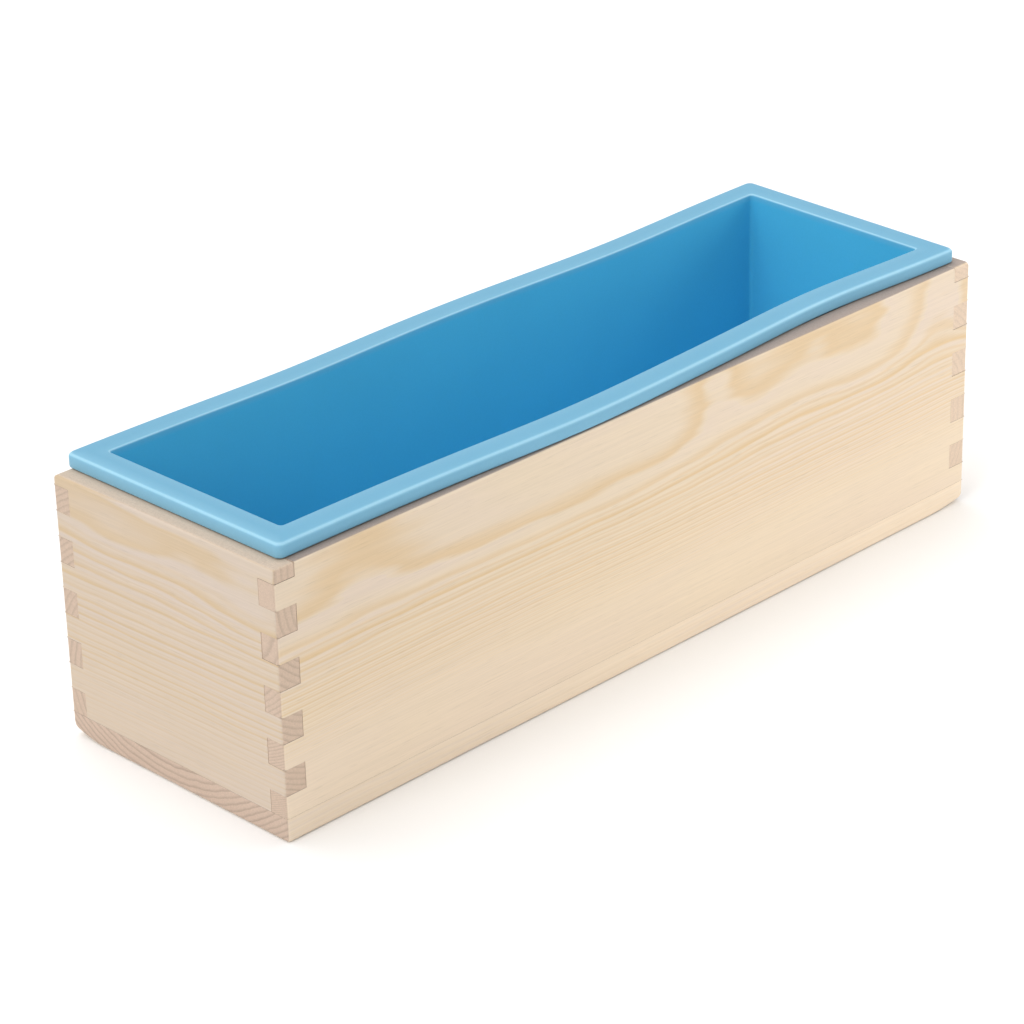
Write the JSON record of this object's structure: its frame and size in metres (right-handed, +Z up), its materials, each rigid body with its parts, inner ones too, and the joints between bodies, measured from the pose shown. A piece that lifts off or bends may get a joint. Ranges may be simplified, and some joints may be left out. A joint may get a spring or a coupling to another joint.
{
  "type": "soap loaf mould",
  "caption": "Long rectangular finger-jointed pine box with a loose, flanged silicone liner that lifts out, for casting a loaf of soap to slice into bars.",
  "frame": {"origin": "middle of the underside of the bottom board, on the surface that the box stands on", "axes": "+X along the box's length, +Y across it towards side_rear, +Z up, the way the liner lifts out"},
  "size_m": [0.28, 0.088, 0.0836],
  "materials": {
    "wall_pine": "sanded, unfinished",
    "bottom_pine": "sanded, unfinished",
    "liner_silicone": "satin, slightly translucent"
  },
  "bodies": {
    "box": {"bottom_board": "bottom_pine", "end_left": "wall_pine", "end_right": "wall_pine", "side_front": "wall_pine", "side_rear": "wall_pine"},
    "liner": {"silicone_liner": "liner_silicone"}
  },
  "joints": [
    {"name": "liner_lift", "type": "slide", "parent": "box", "child": "liner", "axis": [0, 0, 1], "range_m": [0, 0.075]}
  ]
}
